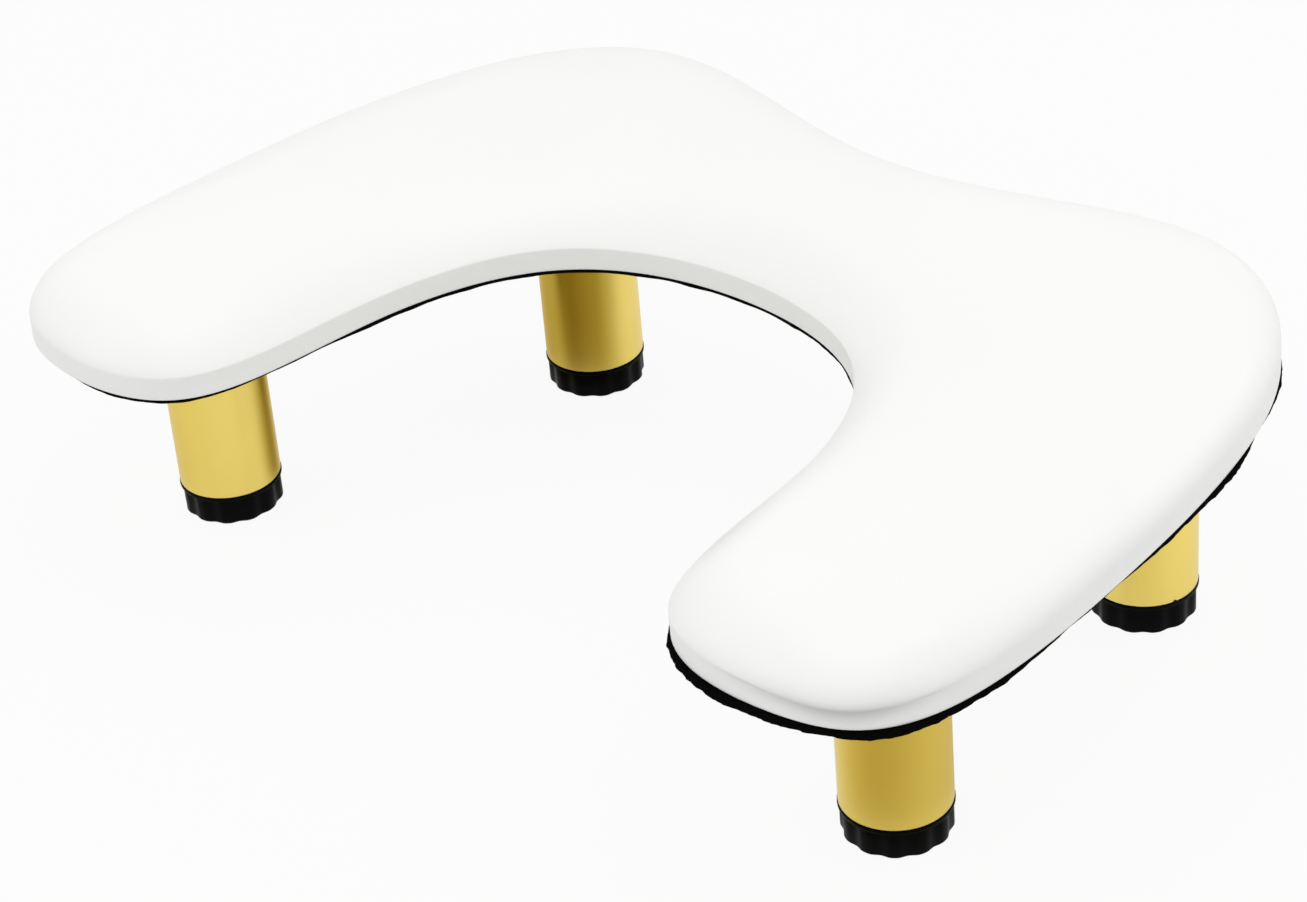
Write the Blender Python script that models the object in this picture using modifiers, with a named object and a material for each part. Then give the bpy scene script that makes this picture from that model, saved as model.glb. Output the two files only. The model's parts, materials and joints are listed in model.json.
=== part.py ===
"""Manicure hand rest: a crowned pad with a deep bay in its front edge, upholstered over a
board, on four brass-plated tubular legs with screw-in levelling feet.

Metres, +Z up. The floor is z = 0, the bay opens towards -Y, and the origin lies under the
middle of the pad. Feet are modelled fully screwed in.
"""
import math

import bmesh
import bpy
from mathutils import Matrix, Vector

# Fit between pieces that touch
GAP = 0.0003
CUT_OVERRUN = 0.002
MERGE_DISTANCE = 0.000003
SMOOTH_ANGLE = math.radians(35)

# Pad: overall size, and the control points of half its outline as shares of the half
# length and half depth, from the middle of the bay round the right arm to the back notch
PAD_LENGTH = 0.557
PAD_DEPTH = 0.378
OUTLINE_SHARES = (
    (0.00, 0.28),
    (0.36, 0.15),
    (0.49, -0.35),
    (0.47, -1.00),
    (0.84, -1.02),
    (1.01, -0.85),
    (1.00, -0.22),
    (0.93, 0.66),
    (0.64, 1.08),
    (0.28, 0.92),
    (0.00, 0.82),
)
OUTLINE_STEPS = 4
CROWN_RISE = 0.0225
CROWN_WIDTH = 0.038
CROWN_RINGS = 4
CROWN_LIMIT_SHARE = 0.85
COVER_THICKNESS = 0.0012
HEM_WIDTH = 0.020

# How firmly the cover is pulled over the foam's edge, by share of the way round from the
# middle of the bay: towards 1 it makes a crisp edge above an upright band, at 0 a round one
FIRMNESS_SHARES = (
    (0.000, 0.85),
    (0.155, 0.85),
    (0.172, 0.45),
    (0.240, 0.40),
    (0.275, 0.10),
    (0.320, 0.00),
    (0.680, 0.00),
    (0.760, 0.20),
    (0.800, 0.45),
    (0.832, 0.50),
    (0.850, 0.85),
    (1.000, 0.85),
)

# Board under the foam, and the felt under the board
BOARD_THICKNESS = 0.010
CLOTH_THICKNESS = 0.0015
CLOTH_INSET = 0.0003

# Legs: places as shares of the pad's half length and half depth, and the tube
LEG_PLACE_SHARES = (
    (-0.810, -0.503),
    (-0.572, 0.521),
    (0.722, -0.502),
    (0.677, 0.522),
)
LEG_HEIGHT = 0.1216
TUBE_DIAMETER = 0.050
TUBE_WALL = 0.0012
TUBE_CHAMFER = 0.0004
TUBE_SEGMENTS = 32
HIDDEN_SEGMENTS = 16

# Mounting plate, as wide as the tube, with its clinched stud and four wood screws
PLATE_THICKNESS = 0.003
STUD_DIAMETER = 0.010
STUD_HEAD_DIAMETER = 0.018
STUD_HEAD_THICKNESS = 0.0014
STUD_LENGTH = 0.020
STUD_CHAMFER = 0.001
SCREW_CIRCLE_DIAMETER = 0.034
SCREW_COUNT = 4
SCREW_LENGTH = 0.014
SCREW_SHANK_DIAMETER = 0.0036
SCREW_HEAD_DIAMETER = 0.0074
SCREW_HEAD_HEIGHT = 0.0022
SCREW_POINT_LENGTH = 0.003
SCREW_POINT_DIAMETER = 0.0006
SCREW_SEGMENTS = 8

# Moulded plug in the top of each tube
PLUG_HEIGHT = 0.014
PLUG_WEB = 0.004
PLUG_RIM = 0.003
PLUG_BOSS_DIAMETER = 0.019

# Flanged bush in the bottom of each tube, which the levelling foot screws into
FLANGE_OVERHANG = 0.0003
FLANGE_THICKNESS = 0.0018
BUSH_DEPTH = 0.016
BUSH_CHAMFER = 0.001

# Levelling foot with its fluted skirt, plain stem and glued grip pad; each foot was left
# turned a little differently when it was screwed in
FOOT_TURNS = [math.radians(turn) for turn in (9.6, -8.0, 6.4, 20.8)]
SKIRT_INSET = 0.0005
SKIRT_HEIGHT = 0.0133
SKIRT_CHAMFER = 0.0012
SKIRT_GAP = 0.0005
FLUTE_COUNT = 12
FLUTE_DEPTH = 0.00105
FLUTE_WIDTH_SHARE = 0.86
FLUTE_POINTS = 8
STEM_DIAMETER = 0.024
STEM_ENGAGEMENT = 0.014
FOOT_TRAVEL = 0.012
STEM_CHAMFER = 0.0015
STEM_SEGMENTS = 20
GRIP_DIAMETER = 0.040
GRIP_THICKNESS = 0.002
GRIP_PROUD = 0.0006
GRIP_CHAMFER = 0.0003

# Heights that follow, from the floor up
SKIRT_TOP = GRIP_PROUD + SKIRT_HEIGHT
FLANGE_BOTTOM = SKIRT_TOP + SKIRT_GAP
TUBE_BOTTOM = FLANGE_BOTTOM + FLANGE_THICKNESS + GAP
PLATE_BOTTOM = LEG_HEIGHT - PLATE_THICKNESS
TUBE_TOP = PLATE_BOTTOM - GAP
CLOTH_BOTTOM = LEG_HEIGHT + GAP
COVER_BOTTOM = CLOTH_BOTTOM + CLOTH_THICKNESS + GAP
BOARD_BOTTOM = COVER_BOTTOM + COVER_THICKNESS + GAP
CROWN_BOTTOM = BOARD_BOTTOM + BOARD_THICKNESS + GAP
TUBE_BORE_RADIUS = TUBE_DIAMETER / 2 - TUBE_WALL

LEATHER_COLOUR = (0.86, 0.86, 0.84, 1)
FOAM_COLOUR = (0.80, 0.74, 0.55, 1)
WOOD_COLOUR = (0.55, 0.38, 0.22, 1)
CLOTH_COLOUR = (0.012, 0.012, 0.013, 1)
BRASS_COLOUR = (0.72, 0.50, 0.14, 1)
STEEL_COLOUR = (0.56, 0.56, 0.58, 1)
PLASTIC_COLOUR = (0.010, 0.010, 0.011, 1)
RUBBER_COLOUR = (0.03, 0.03, 0.03, 1)


def clear_scene():
    for obj in list(bpy.data.objects):
        bpy.data.objects.remove(obj, do_unlink=True)


def new_collection(name):
    collection = bpy.data.collections.new(name)
    bpy.context.scene.collection.children.link(collection)
    return collection


def new_material(name, colour, roughness, metallic):
    material = bpy.data.materials.new(name)
    material.use_nodes = True
    shader = material.node_tree.nodes["Principled BSDF"]
    shader.inputs["Base Color"].default_value = colour
    shader.inputs["Roughness"].default_value = roughness
    shader.inputs["Metallic"].default_value = metallic
    return material


def make_materials():
    return {
        "leather": new_material("white_leather", LEATHER_COLOUR, 0.42, 0.0),
        "foam": new_material("upholstery_foam", FOAM_COLOUR, 0.95, 0.0),
        "wood": new_material("plywood", WOOD_COLOUR, 0.75, 0.0),
        "cloth": new_material("black_felt", CLOTH_COLOUR, 0.95, 0.0),
        "brass": new_material("satin_brass_plate", BRASS_COLOUR, 0.28, 1.0),
        "steel": new_material("zinc_plated_steel", STEEL_COLOUR, 0.38, 1.0),
        "plastic": new_material("black_plastic", PLASTIC_COLOUR, 0.45, 0.0),
        "rubber": new_material("black_rubber", RUBBER_COLOUR, 0.85, 0.0),
    }


def mesh_from(bm, name):
    """Turns a finished bmesh into smooth-shaded mesh data with crisp edges kept."""
    mesh = bpy.data.meshes.new(name)
    bm.normal_update()
    bm.to_mesh(mesh)
    bm.free()
    mesh.shade_smooth()
    mesh.set_sharp_from_angle(angle=SMOOTH_ANGLE)
    return mesh


def add_object(name, mesh, collection, material=None, parent=None, location=(0, 0, 0)):
    obj = bpy.data.objects.new(name, mesh)
    collection.objects.link(obj)
    obj.location = location
    obj.parent = parent
    if material is not None and not mesh.materials:
        mesh.materials.append(material)
    return obj


def hide_as_cutter(obj):
    obj.hide_render = True
    obj.display_type = "WIRE"


def baked_mesh(obj, name):
    """The object's evaluated mesh as data of its own; the object itself is removed."""
    graph = bpy.context.evaluated_depsgraph_get()
    mesh = bpy.data.meshes.new_from_object(obj.evaluated_get(graph))
    mesh.name = name
    bpy.data.objects.remove(obj, do_unlink=True)
    bm = bmesh.new()
    bm.from_mesh(mesh)
    bmesh.ops.remove_doubles(bm, verts=bm.verts, dist=MERGE_DISTANCE)
    bm.to_mesh(mesh)
    bm.free()
    mesh.shade_smooth()
    mesh.set_sharp_from_angle(angle=SMOOTH_ANGLE)
    return mesh


def turned_mesh(name, profile, closed, segments, collection):
    """A profile of (radius, height) points turned about Z with a Screw modifier.

    The points run down the outer side; a closed profile makes a ring.
    """
    bm = bmesh.new()
    verts = [bm.verts.new((radius, 0, height)) for radius, height in profile]
    for first, second in zip(verts, verts[1:]):
        bm.edges.new((first, second))
    if closed:
        bm.edges.new((verts[-1], verts[0]))
    mesh = bpy.data.meshes.new(name)
    bm.to_mesh(mesh)
    bm.free()
    obj = add_object(name, mesh, collection)
    screw = obj.modifiers.new("turn", "SCREW")
    screw.axis = "Z"
    screw.angle = math.tau
    screw.steps = segments
    screw.render_steps = segments
    screw.use_merge_vertices = True
    screw.merge_threshold = MERGE_DISTANCE
    return baked_mesh(obj, name)


def loft(bm, rings):
    """Faces between successive rings of points, lowest ring first; returns their vertices."""
    loops = [[bm.verts.new(point) for point in ring] for ring in rings]
    for lower, upper in zip(loops, loops[1:]):
        for i, vert in enumerate(lower):
            j = (i + 1) % len(lower)
            bm.faces.new((vert, lower[j], upper[j], upper[i]))
    return loops


def spline_loop(controls, steps):
    """Points along the closed uniform cubic B-spline of the control points."""
    count = len(controls)
    points = []
    for i in range(count):
        before, start, end, after = (controls[(i + k) % count] for k in (-1, 0, 1, 2))
        for step in range(steps):
            t = step / steps
            points.append(
                (
                    (1 - t) ** 3 * before
                    + (3 * t**3 - 6 * t**2 + 4) * start
                    + (-3 * t**3 + 3 * t**2 + 3 * t + 1) * end
                    + t**3 * after
                )
                / 6
            )
    return points


def pad_outline():
    """The pad's outline at full size, anticlockwise from the middle of the bay."""
    half = [Vector(shares) for shares in OUTLINE_SHARES]
    other = [Vector((-point.x, point.y)) for point in reversed(half[1:-1])]
    points = spline_loop(half + other, OUTLINE_STEPS)
    low = Vector((min(p.x for p in points), min(p.y for p in points)))
    high = Vector((max(p.x for p in points), max(p.y for p in points)))
    middle = (low + high) / 2
    span = high - low
    stretch = Vector((PAD_LENGTH / span.x, PAD_DEPTH / span.y))
    return [(p - middle) * stretch for p in points]


def outward_normals(outline):
    normals = []
    for i in range(len(outline)):
        along = outline[(i + 1) % len(outline)] - outline[i - 1]
        normals.append(Vector((along.y, -along.x)).normalized())
    return normals


def inset_outline(outline, distances):
    """The outline moved inwards by a distance, or by one distance for each point."""
    if not isinstance(distances, list):
        distances = [distances] * len(outline)
    normals = outward_normals(outline)
    return [p - n * d for p, n, d in zip(outline, normals, distances)]


def crown_widths(outline):
    """How far in the crown's curve reaches, less where the outline turns tightly."""
    widths = []
    for i, point in enumerate(outline):
        back = point - outline[i - 1]
        ahead = outline[(i + 1) % len(outline)] - point
        turn = math.atan2(back.x * ahead.y - back.y * ahead.x, back.dot(ahead))
        width = CROWN_WIDTH
        if turn > 0:
            width = min(width, CROWN_LIMIT_SHARE * (back.length + ahead.length) / 2 / turn)
        widths.append(width)
    return [
        (widths[i - 1] + width + widths[(i + 1) % len(widths)]) / 3
        for i, width in enumerate(widths)
    ]


def at_height(outline, heights):
    """The outline's points at a height, or at one height for each point."""
    if not isinstance(heights, list):
        heights = [heights] * len(outline)
    return [Vector((point.x, point.y, z)) for point, z in zip(outline, heights)]


def firmness_at(share):
    """The cover's firmness that share of the way round the outline."""
    for (start, first), (end, second) in zip(FIRMNESS_SHARES, FIRMNESS_SHARES[1:]):
        if share <= end:
            return first + (second - first) * (share - start) / (end - start)


def crown_rings(outline):
    """Rings of the pad's outer skin, from the foot of the crown up to its flat top."""
    widths = crown_widths(outline)
    firmness = [firmness_at(i / len(outline)) for i in range(len(outline))]
    rings = []
    for ring in range(CROWN_RINGS + 1):
        angle = math.pi / 2 * ring / CROWN_RINGS
        insets = [width * (1 - math.cos(angle)) for width in widths]
        rises = [CROWN_RISE * math.sin(angle) ** (1 + firm) for firm in firmness]
        heights = [CROWN_BOTTOM + rise for rise in rises]
        rings.append(at_height(inset_outline(outline, insets), heights))
    return rings


def slab_mesh(name, outline, bottom, thickness):
    """A flat slab of the outline's shape, filled as a curve and made a closed mesh."""
    curve = bpy.data.curves.new(name, "CURVE")
    curve.dimensions = "2D"
    curve.fill_mode = "BOTH"
    curve.extrude = thickness / 2
    spline = curve.splines.new("POLY")
    spline.points.add(len(outline) - 1)
    for knot, point in zip(spline.points, outline):
        knot.co = (point.x, point.y, 0, 1)
    spline.use_cyclic_u = True
    obj = bpy.data.objects.new(name, curve)
    bpy.context.scene.collection.objects.link(obj)
    mesh = baked_mesh(obj, name)
    mesh.transform(Matrix.Translation((0, 0, bottom + thickness / 2)))
    return mesh


def cut_with(obj, cutter):
    boolean = obj.modifiers.new("cut_" + cutter.name, "BOOLEAN")
    boolean.operation = "DIFFERENCE"
    boolean.object = cutter


def cone_cutter(name, places, low, high, collection):
    """Upright round cutters at the places, each from one (radius, height) to another."""
    bm = bmesh.new()
    for x, y in places:
        bmesh.ops.create_cone(
            bm,
            cap_ends=True,
            segments=SCREW_SEGMENTS,
            radius1=low[0],
            radius2=high[0],
            depth=high[1] - low[1],
            matrix=Matrix.Translation((x, y, (low[1] + high[1]) / 2)),
        )
    cutter = add_object(name, mesh_from(bm, name), collection)
    hide_as_cutter(cutter)
    return cutter


def leg_places():
    return [(x * PAD_LENGTH / 2, y * PAD_DEPTH / 2) for x, y in LEG_PLACE_SHARES]


def screw_places():
    """The wood screws' places round one leg's axis."""
    radius = SCREW_CIRCLE_DIAMETER / 2
    turns = [(i + 0.5) / SCREW_COUNT * math.tau for i in range(SCREW_COUNT)]
    return [(radius * math.cos(turn), radius * math.sin(turn)) for turn in turns]


def cut_screw_holes(obj, name, bottom, top, cutters):
    """Cuts a hole for the shank of every wood screw of every leg."""
    places = [(x + dx, y + dy) for x, y in leg_places() for dx, dy in screw_places()]
    radius = SCREW_SHANK_DIAMETER / 2 + GAP
    cut_with(obj, cone_cutter(name, places, (radius, bottom), (radius, top), cutters))


def make_cover(outline, parts, materials):
    """The leather: crown, upright band and a hem turned under the board, one open sheet
    that Solidify thickens inwards."""
    hem = at_height(inset_outline(outline, HEM_WIDTH), COVER_BOTTOM)
    edge = at_height(outline, COVER_BOTTOM)
    bm = bmesh.new()
    loops = loft(bm, [hem, edge] + crown_rings(outline))
    bm.faces.new(loops[-1])
    cover = add_object("pad_cover", mesh_from(bm, "pad_cover"), parts, materials["leather"])
    shell = cover.modifiers.new("leather", "SOLIDIFY")
    shell.thickness = COVER_THICKNESS
    shell.offset = -1
    shell.use_even_offset = True


def make_foam(outline, parts, materials):
    """The foam fills the crown, a clearance inside the leather."""
    bm = bmesh.new()
    loops = loft(bm, crown_rings(outline))
    bm.faces.new(loops[-1])
    bm.normal_update()
    depth = COVER_THICKNESS + GAP
    for vert in list(bm.verts):
        vert.co -= vert.normal * depth
    for low, high in zip(loops[0], loops[1]):
        share = (CROWN_BOTTOM - low.co.z) / (high.co.z - low.co.z)
        low.co = low.co.lerp(high.co, share)
    bm.faces.new(list(reversed(loops[0])))
    add_object("foam_pad", mesh_from(bm, "foam_pad"), parts, materials["foam"])


def make_board(outline, parts, cutters, materials):
    """The plywood board, with a blind pilot hole for each wood screw."""
    inner = inset_outline(outline, COVER_THICKNESS + GAP)
    mesh = slab_mesh("base_board", inner, BOARD_BOTTOM, BOARD_THICKNESS)
    board = add_object("base_board", mesh, parts, materials["wood"])
    bottom = BOARD_BOTTOM - CUT_OVERRUN
    tip = PLATE_BOTTOM + SCREW_LENGTH + GAP
    cut_screw_holes(board, "pilot_holes", bottom, tip, cutters)


def make_cloth(outline, parts, cutters, materials):
    """The black felt under the board, pierced by the wood screws."""
    inner = inset_outline(outline, CLOTH_INSET)
    mesh = slab_mesh("bottom_cloth", inner, CLOTH_BOTTOM, CLOTH_THICKNESS)
    cloth = add_object("bottom_cloth", mesh, parts, materials["cloth"])
    bottom = CLOTH_BOTTOM - CUT_OVERRUN
    top = CLOTH_BOTTOM + CLOTH_THICKNESS + CUT_OVERRUN
    cut_screw_holes(cloth, "screw_piercings", bottom, top, cutters)


def plate_mesh(cutters):
    """A steel disc with a counterbored middle hole and a countersunk hole for each screw.

    Its top face is at height zero.
    """
    outer = TUBE_DIAMETER / 2
    bore = STUD_DIAMETER / 2 + GAP
    recess = STUD_HEAD_DIAMETER / 2 + GAP
    step = -STUD_HEAD_THICKNESS - GAP
    profile = [
        (outer, 0),
        (outer, -PLATE_THICKNESS),
        (bore, -PLATE_THICKNESS),
        (bore, step),
        (recess, step),
        (recess, 0),
    ]
    disc = turned_mesh("plate_disc", profile, True, TUBE_SEGMENTS, cutters)
    plate = add_object("plate_blank", disc, cutters)
    head = SCREW_HEAD_DIAMETER / 2 + GAP
    shank = SCREW_SHANK_DIAMETER / 2 + GAP
    flare = (head - shank) / SCREW_HEAD_HEIGHT * CUT_OVERRUN
    below = -PLATE_THICKNESS - CUT_OVERRUN
    neck = (shank, SCREW_HEAD_HEIGHT - PLATE_THICKNESS)
    places = screw_places()
    holes = cone_cutter("plate_holes", places, (shank, below), (shank, CUT_OVERRUN), cutters)
    sinks = cone_cutter("plate_countersinks", places, (head + flare, below), neck, cutters)
    cut_with(plate, holes)
    cut_with(plate, sinks)
    mesh = baked_mesh(plate, "mounting_plate")
    bpy.data.objects.remove(holes, do_unlink=True)
    bpy.data.objects.remove(sinks, do_unlink=True)
    return mesh


def stud_mesh(cutters):
    """The threaded stud as a plain shank under a flat head; its head's top is at zero."""
    head = STUD_HEAD_DIAMETER / 2
    shank = STUD_DIAMETER / 2
    profile = [
        (0, 0),
        (head, 0),
        (head, -STUD_HEAD_THICKNESS),
        (shank, -STUD_HEAD_THICKNESS),
        (shank, STUD_CHAMFER - STUD_LENGTH),
        (shank - STUD_CHAMFER, -STUD_LENGTH),
        (0, -STUD_LENGTH),
    ]
    return turned_mesh("plate_stud", profile, False, HIDDEN_SEGMENTS, cutters)


def screw_mesh(cutters):
    """A countersunk wood screw, point up; its head's flat face is at zero."""
    head = SCREW_HEAD_DIAMETER / 2
    shank = SCREW_SHANK_DIAMETER / 2
    profile = [
        (0, SCREW_LENGTH),
        (SCREW_POINT_DIAMETER / 2, SCREW_LENGTH),
        (shank, SCREW_LENGTH - SCREW_POINT_LENGTH),
        (shank, SCREW_HEAD_HEIGHT),
        (head, 0),
        (0, 0),
    ]
    return turned_mesh("plate_screw", profile, False, SCREW_SEGMENTS, cutters)


def tube_mesh(cutters):
    outer = TUBE_DIAMETER / 2
    edge = TUBE_CHAMFER
    profile = [
        (TUBE_BORE_RADIUS, TUBE_TOP),
        (outer - edge, TUBE_TOP),
        (outer, TUBE_TOP - edge),
        (outer, TUBE_BOTTOM + edge),
        (outer - edge, TUBE_BOTTOM),
        (TUBE_BORE_RADIUS, TUBE_BOTTOM),
    ]
    return turned_mesh("leg_tube", profile, True, TUBE_SEGMENTS, cutters)


def plug_mesh(cutters):
    """The plug in the tube's top: a web with a rim and a boss round the stud's bore."""
    outer = TUBE_BORE_RADIUS - GAP
    boss = PLUG_BOSS_DIAMETER / 2
    bore = STUD_DIAMETER / 2 + GAP
    foot = TUBE_TOP - PLUG_HEIGHT
    web = TUBE_TOP - PLUG_WEB
    profile = [
        (bore, TUBE_TOP),
        (outer, TUBE_TOP),
        (outer, foot),
        (outer - PLUG_RIM, foot),
        (outer - PLUG_RIM, web),
        (boss, web),
        (boss, foot),
        (bore, foot),
    ]
    return turned_mesh("top_plug", profile, True, HIDDEN_SEGMENTS, cutters)


def bush_mesh(cutters):
    """The flanged bush, pressed into the tube's bottom, with a bore for the foot's stem."""
    flange = TUBE_DIAMETER / 2 + FLANGE_OVERHANG
    body = TUBE_BORE_RADIUS - GAP
    bore = STEM_DIAMETER / 2 + GAP
    seat = FLANGE_BOTTOM + FLANGE_THICKNESS
    top = seat + BUSH_DEPTH
    profile = [
        (bore, top),
        (body - BUSH_CHAMFER, top),
        (body, top - BUSH_CHAMFER),
        (body, seat),
        (flange, seat),
        (flange, FLANGE_BOTTOM),
        (bore, FLANGE_BOTTOM),
    ]
    return turned_mesh("foot_bush", profile, True, TUBE_SEGMENTS, cutters)


def fluted_ring(radius, height):
    """One turn of the skirt's rim: wide lobes parted by narrow rounded flutes."""
    count = FLUTE_COUNT * FLUTE_POINTS
    points = []
    for i in range(count):
        along = i / FLUTE_POINTS % 1 - 0.5
        reach = min(1, abs(along) * 2 / FLUTE_WIDTH_SHARE)
        sunk = FLUTE_DEPTH * (1 + math.cos(math.pi * reach)) / 2
        turn = math.tau * i / count
        rim = radius - sunk
        points.append(Vector((rim * math.cos(turn), rim * math.sin(turn), height)))
    return points


def foot_mesh(cutters):
    """The fluted skirt with its stem on top and a recess for the grip pad underneath."""
    radius = TUBE_DIAMETER / 2 - SKIRT_INSET
    narrow = radius - SKIRT_CHAMFER
    bm = bmesh.new()
    loops = loft(
        bm,
        [
            fluted_ring(narrow, GRIP_PROUD),
            fluted_ring(radius, GRIP_PROUD + SKIRT_CHAMFER),
            fluted_ring(radius, SKIRT_TOP),
        ],
    )
    bm.faces.new(loops[-1])
    bm.faces.new(list(reversed(loops[0])))
    foot = add_object("foot_blank", mesh_from(bm, "foot_blank"), cutters)

    stem = STEM_DIAMETER / 2
    top = SKIRT_TOP + FOOT_TRAVEL + STEM_ENGAGEMENT
    root = SKIRT_TOP - SKIRT_HEIGHT / 2
    profile = [
        (0, top),
        (stem - STEM_CHAMFER, top),
        (stem, top - STEM_CHAMFER),
        (stem, root),
        (0, root),
    ]
    stem_mesh = turned_mesh("foot_stem", profile, False, STEM_SEGMENTS, cutters)
    stem_obj = add_object("foot_stem", stem_mesh, cutters)
    recess_radius = GRIP_DIAMETER / 2 + GAP
    recess_top = GRIP_THICKNESS + GAP
    profile = [
        (0, recess_top),
        (recess_radius, recess_top),
        (recess_radius, -CUT_OVERRUN),
        (0, -CUT_OVERRUN),
    ]
    recess_mesh = turned_mesh("grip_recess", profile, False, TUBE_SEGMENTS, cutters)
    recess = add_object("grip_recess", recess_mesh, cutters)
    join = foot.modifiers.new("stem", "BOOLEAN")
    join.operation = "UNION"
    join.object = stem_obj
    cut_with(foot, recess)
    mesh = baked_mesh(foot, "levelling_foot")
    bpy.data.objects.remove(stem_obj, do_unlink=True)
    bpy.data.objects.remove(recess, do_unlink=True)
    return mesh


def grip_mesh(cutters):
    radius = GRIP_DIAMETER / 2
    edge = GRIP_CHAMFER
    profile = [
        (0, GRIP_THICKNESS),
        (radius, GRIP_THICKNESS),
        (radius, edge),
        (radius - edge, 0),
        (0, 0),
    ]
    return turned_mesh("foot_grip", profile, False, TUBE_SEGMENTS, cutters)


def make_legs(parts, cutters, materials):
    """Four alike legs, each on an empty at its own place on the floor.

    A foot and its grip pad have their origins on the foot's own screw axis.
    """
    plate = plate_mesh(cutters)
    stud = stud_mesh(cutters)
    screw = screw_mesh(cutters)
    tube = tube_mesh(cutters)
    plug = plug_mesh(cutters)
    bush = bush_mesh(cutters)
    foot = foot_mesh(cutters)
    grip = grip_mesh(cutters)
    for number, ((x, y), turn) in enumerate(zip(leg_places(), FOOT_TURNS), start=1):
        axis = bpy.data.objects.new(f"leg_{number}_axis", None)
        parts.objects.link(axis)
        axis.location = (x, y, 0)
        top = (0, 0, LEG_HEIGHT)
        add_object(f"mounting_plate_{number}", plate, parts, materials["steel"], axis, top)
        add_object(f"plate_stud_{number}", stud, parts, materials["steel"], axis, top)
        add_object(f"leg_tube_{number}", tube, parts, materials["brass"], axis)
        add_object(f"top_plug_{number}", plug, parts, materials["plastic"], axis)
        add_object(f"foot_bush_{number}", bush, parts, materials["plastic"], axis)
        skirt = add_object(f"levelling_foot_{number}", foot, parts, materials["plastic"], axis)
        skirt.rotation_euler.z = turn
        add_object(f"foot_grip_{number}", grip, parts, materials["rubber"], axis)
        for place, (dx, dy) in enumerate(screw_places(), start=1):
            add_object(
                f"plate_screw_{number}_{place}",
                screw,
                parts,
                materials["steel"],
                axis,
                (dx, dy, PLATE_BOTTOM),
            )


def main():
    clear_scene()
    parts = new_collection("manicure_hand_rest")
    cutters = new_collection("cutters")
    materials = make_materials()
    outline = pad_outline()
    make_cover(outline, parts, materials)
    make_foam(outline, parts, materials)
    make_board(outline, parts, cutters, materials)
    make_cloth(outline, parts, cutters, materials)
    make_legs(parts, cutters, materials)


main()
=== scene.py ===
"""Looks of the manicure hand rest: a white leather pad with a deep bay, a black felt
underside, satin brass legs and black fluted levelling feet.

Metres, +Z up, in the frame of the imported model. The bay opens towards -Y.
"""
import json
import math

import bmesh
import bpy
import numpy as np
from mathutils import Matrix, Vector
from mathutils.geometry import delaunay_2d_cdt
from mathutils.noise import noise

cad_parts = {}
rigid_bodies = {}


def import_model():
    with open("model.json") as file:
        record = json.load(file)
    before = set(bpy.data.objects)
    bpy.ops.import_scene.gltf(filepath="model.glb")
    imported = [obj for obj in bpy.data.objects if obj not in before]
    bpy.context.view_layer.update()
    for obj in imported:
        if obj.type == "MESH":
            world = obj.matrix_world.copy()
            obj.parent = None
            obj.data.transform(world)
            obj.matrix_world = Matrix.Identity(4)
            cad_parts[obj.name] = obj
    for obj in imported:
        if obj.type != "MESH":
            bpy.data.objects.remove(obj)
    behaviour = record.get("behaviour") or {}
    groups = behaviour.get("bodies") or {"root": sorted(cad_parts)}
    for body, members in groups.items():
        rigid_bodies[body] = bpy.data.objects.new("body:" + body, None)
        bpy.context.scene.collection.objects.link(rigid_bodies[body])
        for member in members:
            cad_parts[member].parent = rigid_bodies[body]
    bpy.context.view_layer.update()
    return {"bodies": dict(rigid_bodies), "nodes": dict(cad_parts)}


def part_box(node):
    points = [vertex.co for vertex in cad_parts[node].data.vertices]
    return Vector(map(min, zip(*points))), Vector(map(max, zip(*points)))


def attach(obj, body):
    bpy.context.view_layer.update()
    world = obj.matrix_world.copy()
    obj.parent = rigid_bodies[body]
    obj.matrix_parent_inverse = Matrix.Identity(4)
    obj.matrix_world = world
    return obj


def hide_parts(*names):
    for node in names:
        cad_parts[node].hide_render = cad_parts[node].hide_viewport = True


# Control points of the right half of the pad's outline, as shares of its half length and
# half depth, from the middle of the bay round the right arm to the back notch
OUTLINE_SHARES = (
    (0.00, 0.28),
    (0.36, 0.15),
    (0.49, -0.35),
    (0.47, -1.00),
    (0.84, -1.02),
    (1.01, -0.85),
    (1.00, -0.22),
    (0.93, 0.66),
    (0.64, 1.08),
    (0.28, 0.92),
    (0.00, 0.82),
)

# Leather over foam
COVER_STEPS = 12
CROWN_WIDTH = 0.038
CROWN_RISE = 0.0225
CROWN_DOME = 0.0010
DOME_START = 0.025
DOME_END = 0.085
CROWN_RINGS = 15
RING_REACH = 0.030
TOP_SPACING = 0.008
BAND_STEP = 0.0007
EDGE_RADIUS = 0.0010
EDGE_RINGS = 3
HEM_INSETS = (0.020, 0.014, 0.008, 0.004)
LEATHER_THICKNESS = 0.0012
HAND_WAVE = 0.00035
HAND_WAVE_SCALE = 30

# How firmly the leather is pulled over the foam's edge, by share of the way round from the
# middle of the bay: 1 makes a crisp edge above an upright band, 0 a full round one
FIRMNESS_SHARES = (
    (0.000, 0.85),
    (0.155, 0.85),
    (0.172, 0.45),
    (0.186, 0.40),
    (0.204, 0.02),
    (0.232, 0.02),
    (0.250, 0.30),
    (0.275, 0.10),
    (0.320, 0.00),
    (0.680, 0.00),
    (0.760, 0.20),
    (0.800, 0.45),
    (0.832, 0.50),
    (0.850, 0.85),
    (1.000, 0.85),
)

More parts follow.
